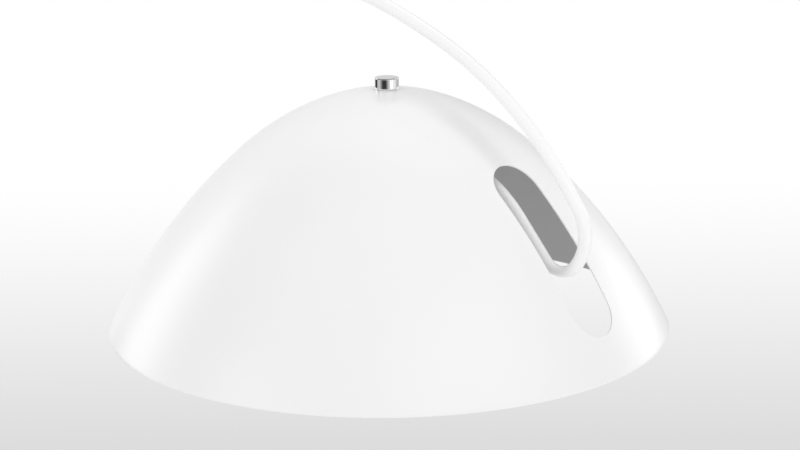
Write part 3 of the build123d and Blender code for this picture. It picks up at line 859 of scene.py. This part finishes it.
class ARCLAMP_OT_shade(bpy.types.Operator):
    """Spin the dome, cut its slot and paint it white outside and grey inside"""

    bl_idname = "arclamp.shade"
    bl_label = "Shade"

    turn_steps = 384
    rim_steps = 6
    slot_steps = 32

    def execute(self, context):
        sizes = context.scene.arclamp_shade
        outline = self.outline(sizes)
        mesh, faces = revolve(outline, self.turn_steps, TILT_PIVOT)
        bmesh.ops.recalc_face_normals(mesh, faces=mesh.faces)
        inner_start = len(dome_skin(sizes, 0.0)) + self.rim_steps - 1
        for face, step in faces.items():
            face.smooth = True
            face.material_index = 1 if inner_start <= step < len(outline) - 1 else 0
        shell = add_piece(
            "shade_shell",
            mesh,
            "shade",
            "shade_paint",
            powder_coat("shade_white", sizes.outside),
            powder_coat("shade_grey", sizes.inside, roughness=0.5, coat=0.0),
        )
        self.cut_slot(context, shell, sizes)
        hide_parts("shade")
        return {"FINISHED"}

    def outline(self, sizes):
        """The sheet's closed section, with a rounded rim and a bored seat."""
        outer = dome_skin(sizes, 0.0)
        inner = dome_skin(sizes, sizes.wall)
        middle = (Vector(outer[-1]) + Vector(inner[-1])) / 2
        rim_slope = dome_arcs(sizes)[2][3]
        half = sizes.wall / 2
        rim = [
            middle + along_normal(rim_slope + math.pi * i / self.rim_steps, half)
            for i in range(1, self.rim_steps)
        ]
        seat = [(sizes.bore_radius, inner[0][1]), (sizes.bore_radius, outer[0][1])]
        return outer + [tuple(point) for point in rim] + inner[::-1] + seat

    def cut_slot(self, context, shell, sizes):
        """Cut a straight-sided slot with round ends through the sheet."""
        centre, radius = dome_arcs(sizes)[2][:2]
        middle = centre + along_normal(sizes.slot_slope, radius)
        half_width = sizes.slot_width / 2
        straight = sizes.slot_length / 2 - half_width
        mesh = bmesh.new()
        ring = []
        for side in (1, -1):
            for step in range(self.slot_steps + 1):
                turn = math.pi * (step / self.slot_steps - 0.5)
                along = side * (straight + half_width * math.cos(turn))
                across = side * half_width * math.sin(turn)
                ring.append(mesh.verts.new((along, across, -sizes.slot_width)))
        face = mesh.faces.new(ring)
        top = bmesh.ops.extrude_face_region(mesh, geom=[face])["geom"]
        top = [part for part in top if isinstance(part, bmesh.types.BMVert)]
        bmesh.ops.translate(mesh, vec=Vector((0, 0, 2 * sizes.slot_width)), verts=top)
        bmesh.ops.recalc_face_normals(mesh, faces=mesh.faces)
        place = Matrix.Translation(TILT_PIVOT + Vector((middle.x, 0, middle.y)))
        mesh.transform(place @ Matrix.Rotation(sizes.slot_slope, 4, "Y"))
        cutter = add_object("slot_cutter", mesh)
        cut = shell.modifiers.new("slot", "BOOLEAN")
        cut.operation = "DIFFERENCE"
        cut.solver = "EXACT"
        cut.object = cutter
        context.view_layer.update()
        depsgraph = context.evaluated_depsgraph_get()
        shell.data = bpy.data.meshes.new_from_object(shell.evaluated_get(depsgraph))
        shell.modifiers.clear()
        bpy.data.objects.remove(cutter)
        shell.data.set_sharp_from_angle(angle=SHARP_ANGLE)


class ARCLAMP_OT_stem(bpy.types.Operator):
    """Paint the stem and flatten its tube a little through the tight bend, as bending does"""

    bl_idname = "arclamp.stem"
    bl_label = "Stem"

    def execute(self, context):
        sizes = context.scene.arclamp_stem
        paint = powder_coat("stem_white", sizes.paint)
        dress("riser_tube", paint)
        mesh = bmesh.new()
        mesh.from_mesh(frame["nodes"]["arc_tube"].data)
        self.flatten_bend(sizes, mesh)
        for face in mesh.faces:
            face.smooth = True
        tube = add_piece("arc_tube_bent", mesh, "stand", "stem_paint", paint)
        tube.data.attributes.remove(tube.data.attributes["custom_normal"])
        tube.data.set_sharp_from_angle(angle=SHARP_ANGLE)
        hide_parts("arc_tube")
        return {"FINISHED"}

    def flatten_bend(self, sizes, mesh):
        """Draw the outer side of the bend in towards its inner side."""
        middle = TILT_PIVOT + Vector((sizes.bend_reach, 0, -sizes.bend_drop))
        inner = sizes.bend_radius - sizes.flattening_hold
        for vert in mesh.verts:
            off = vert.co - middle
            off.y = 0.0
            slope = abs(math.atan2(off.x, -off.z)) / sizes.bend_spread
            if off.length < 2 * sizes.bend_radius and slope < 1.0:
                share = sizes.flattening * math.cos(slope * math.pi / 2) ** 2
                vert.co -= off.normalized() * share * (off.length - inner)


class ARCLAMP_OT_metalwork(bpy.types.Operator):
    """Finish the base, the joint, the fasteners and the knob"""

    bl_idname = "arclamp.metalwork"
    bl_label = "Metalwork"

    def execute(self, context):
        white = context.scene.arclamp_shade.outside
        base = powder_coat("base_white", white)
        zinc = zinc_plate("zinc")
        steel = turned_metal("turned_steel", (0.56, 0.57, 0.58))
        for node in ("base_cover", "stem_socket"):
            dress(node, base)
        for node in ("joint_block", "yoke", "pivot_screws", "spindle_nut", "seat_washer"):
            dress(node, zinc)
        for node in ("holder_nipple", "socket_washer", "socket_nut", "terminal_screws"):
            dress(node, zinc)
        for node in ("spindle", "block_grub_screw", "socket_grub_screws", "stem_spigot"):
            dress(node, steel)
        dress("base_weight", cast_iron("cast_iron"))
        dress("knob", chrome("knob_chrome"))
        return {"FINISHED"}


class ARCLAMP_OT_soft_trim(bpy.types.Operator):
    """Finish the rubber, nylon and plastic trim, the lead and its terminals"""

    bl_idname = "arclamp.soft_trim"
    bl_label = "Soft trim"

    def execute(self, context):
        dress("base_pad", soft_rubber("pad_foam", (0.035, 0.035, 0.035), 500.0, 0.0003))
        dress("inlet_grommet", soft_rubber("grommet_rubber", (0.70, 0.70, 0.69), 900.0, 0.0001))
        dress("stem_lead", soft_rubber("lead_sheath", (0.72, 0.72, 0.71), 400.0, 0.00005))
        nylon = moulded_plastic("nylon", (0.80, 0.79, 0.74), 0.45)
        dress("friction_washers", nylon)
        dress("knob_washer", nylon)
        dress("terminal_block", moulded_plastic("terminal_plastic", (0.74, 0.73, 0.69), 0.5))
        return {"FINISHED"}


class ARCLAMP_OT_light_fitting(bpy.types.Operator):
    """Finish the lampholder and the bulb"""

    bl_idname = "arclamp.light_fitting"
    bl_label = "Lampholder and bulb"

    def execute(self, context):
        holder = moulded_plastic("holder_plastic", (0.82, 0.82, 0.80), 0.38)
        brass = turned_metal("contact_brass", (0.80, 0.66, 0.40))
        cap_metal = turned_metal("cap_aluminium", (0.78, 0.78, 0.78))
        for node in ("holder_cap", "holder_skirt"):
            dress(node, holder)
        dress("holder_core", glazed_ceramic("ceramic"))
        for node in ("contact_screws", "screw_shell", "centre_contact", "nipple_nut"):
            dress(node, brass)
        for node in ("bulb_cap", "bulb_tip"):
            dress(node, cap_metal)
        dress("bulb_insulator", moulded_plastic("insulator_black", (0.015, 0.015, 0.018), 0.12))
        dress("bulb_glass", opal_glass("bulb_opal"))
        return {"FINISHED"}


class ARCLAMP_PT_panel(bpy.types.Panel):
    """The lamp's steps in the sidebar"""

    bl_idname = "ARCLAMP_PT_panel"
    bl_label = "Arc floor lamp"
    bl_space_type = "VIEW_3D"
    bl_region_type = "UI"
    bl_category = "Arc lamp"

    def draw(self, context):
        for step in STEPS:
            self.layout.operator(step.bl_idname)


STEPS = (
    ARCLAMP_OT_camera,
    ARCLAMP_OT_stage,
    ARCLAMP_OT_shade,
    ARCLAMP_OT_stem,
    ARCLAMP_OT_metalwork,
    ARCLAMP_OT_soft_trim,
    ARCLAMP_OT_light_fitting,
)
GROUPS = {
    "arclamp_camera": ArcLampCamera,
    "arclamp_stage": ArcLampStage,
    "arclamp_shade": ArcLampShade,
    "arclamp_stem": ArcLampStem,
}


def register():
    for group in GROUPS.values():
        bpy.utils.register_class(group)
    for name, group in GROUPS.items():
        setattr(bpy.types.Scene, name, PointerProperty(type=group))
    for step in STEPS:
        bpy.utils.register_class(step)
    bpy.utils.register_class(ARCLAMP_PT_panel)


def unregister():
    bpy.utils.unregister_class(ARCLAMP_PT_panel)
    for step in reversed(STEPS):
        bpy.utils.unregister_class(step)
    for name in GROUPS:
        delattr(bpy.types.Scene, name)
    for group in GROUPS.values():
        bpy.utils.unregister_class(group)


def main():
    register()
    for step in STEPS:
        getattr(bpy.ops.arclamp, step.bl_idname.split(".")[1])()


if __name__ == "__main__":
    main()
